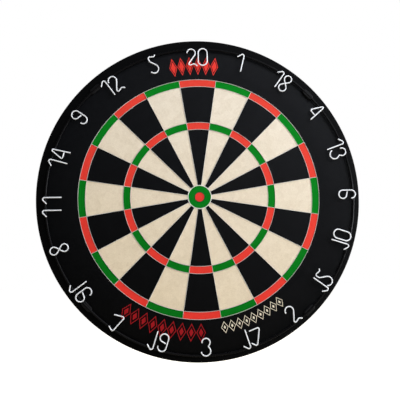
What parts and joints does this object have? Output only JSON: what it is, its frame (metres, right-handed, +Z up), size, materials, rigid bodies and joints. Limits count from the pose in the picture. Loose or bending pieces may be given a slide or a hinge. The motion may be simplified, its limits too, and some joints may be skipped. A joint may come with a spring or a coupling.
{
  "type": "bristle dartboard",
  "caption": "Round bristle dartboard for steel-tip darts, with dyed sisal beds parted by thin steel blades, a wire number ring that turns and pulls off, and a hanging screw and feet behind.",
  "frame": {"origin": "centre of the backboard's rear face, where the hanger screw goes in", "axes": "+Z up the face to the 20, +X to the right as a player sees it, -Y from the face towards the player"},
  "size_m": [0.455, 0.0553, 0.455],
  "materials": {
    "chipboard": "raw pressed chips, sanded",
    "sisal_natural": "undyed pressed fibre",
    "sisal_black": "dyed fibre ends, ground flush",
    "sisal_cream": "pale fibre ends, ground flush",
    "sisal_red": "dyed fibre ends, ground flush",
    "sisal_green": "dyed fibre ends, ground flush",
    "band_paint": "black, semi-gloss",
    "blade_steel": "bright rolled steel",
    "hoop_paint": "black, semi-gloss",
    "numeral_paint": "white, gloss",
    "clip_plastic": "black, satin",
    "screw_steel": "zinc plated",
    "foot_rubber": "black, matt"
  },
  "bodies": {
    "board": {"backboard": "chipboard", "sisal_core": "sisal_natural", "rim_band": "band_paint", "surround_bed": "sisal_black", "double_beds_red": "sisal_red", "double_beds_green": "sisal_green", "outer_single_beds_black": "sisal_black", "outer_single_beds_cream": "sisal_cream", "treble_beds_red": "sisal_red", "treble_beds_green": "sisal_green", "inner_single_beds_black": "sisal_black", "inner_single_beds_cream": "sisal_cream", "outer_bull_bed": "sisal_green", "bullseye_bed": "sisal_red", "radial_blades": "blade_steel", "double_ring_outer_blade": "blade_steel", "double_ring_inner_blade": "blade_steel", "treble_ring_outer_blade": "blade_steel", "treble_ring_inner_blade": "blade_steel", "outer_bull_ring": "blade_steel", "inner_bull_ring": "blade_steel", "hanger_screw": "screw_steel", "hanger_washer": "screw_steel", "foot_1": "foot_rubber", "foot_2": "foot_rubber", "foot_3": "foot_rubber", "foot_screws": "screw_steel"},
    "clip_set": {"ring_clip_1": "clip_plastic", "ring_clip_2": "clip_plastic", "ring_clip_3": "clip_plastic", "ring_clip_4": "clip_plastic"},
    "number_ring": {"number_ring_hoop": "hoop_paint", "numeral_20": "numeral_paint", "numeral_1": "numeral_paint", "numeral_18": "numeral_paint", "numeral_4": "numeral_paint", "numeral_13": "numeral_paint", "numeral_6": "numeral_paint", "numeral_10": "numeral_paint", "numeral_15": "numeral_paint", "numeral_2": "numeral_paint", "numeral_17": "numeral_paint", "numeral_3": "numeral_paint", "numeral_19": "numeral_paint", "numeral_7": "numeral_paint", "numeral_16": "numeral_paint", "numeral_8": "numeral_paint", "numeral_11": "numeral_paint", "numeral_14": "numeral_paint", "numeral_9": "numeral_paint", "numeral_12": "numeral_paint", "numeral_5": "numeral_paint"}
  },
  "joints": [
    {"name": "ring_pull_off", "type": "slide", "parent": "board", "child": "clip_set", "axis": [0, -1, 0], "range_m": [0, 0.045]},
    {"name": "ring_turn", "type": "hinge", "parent": "clip_set", "child": "number_ring", "pos_m": [0.002, -0.0412, -0.0022], "axis": [0, -1, 0], "continuous": true}
  ]
}
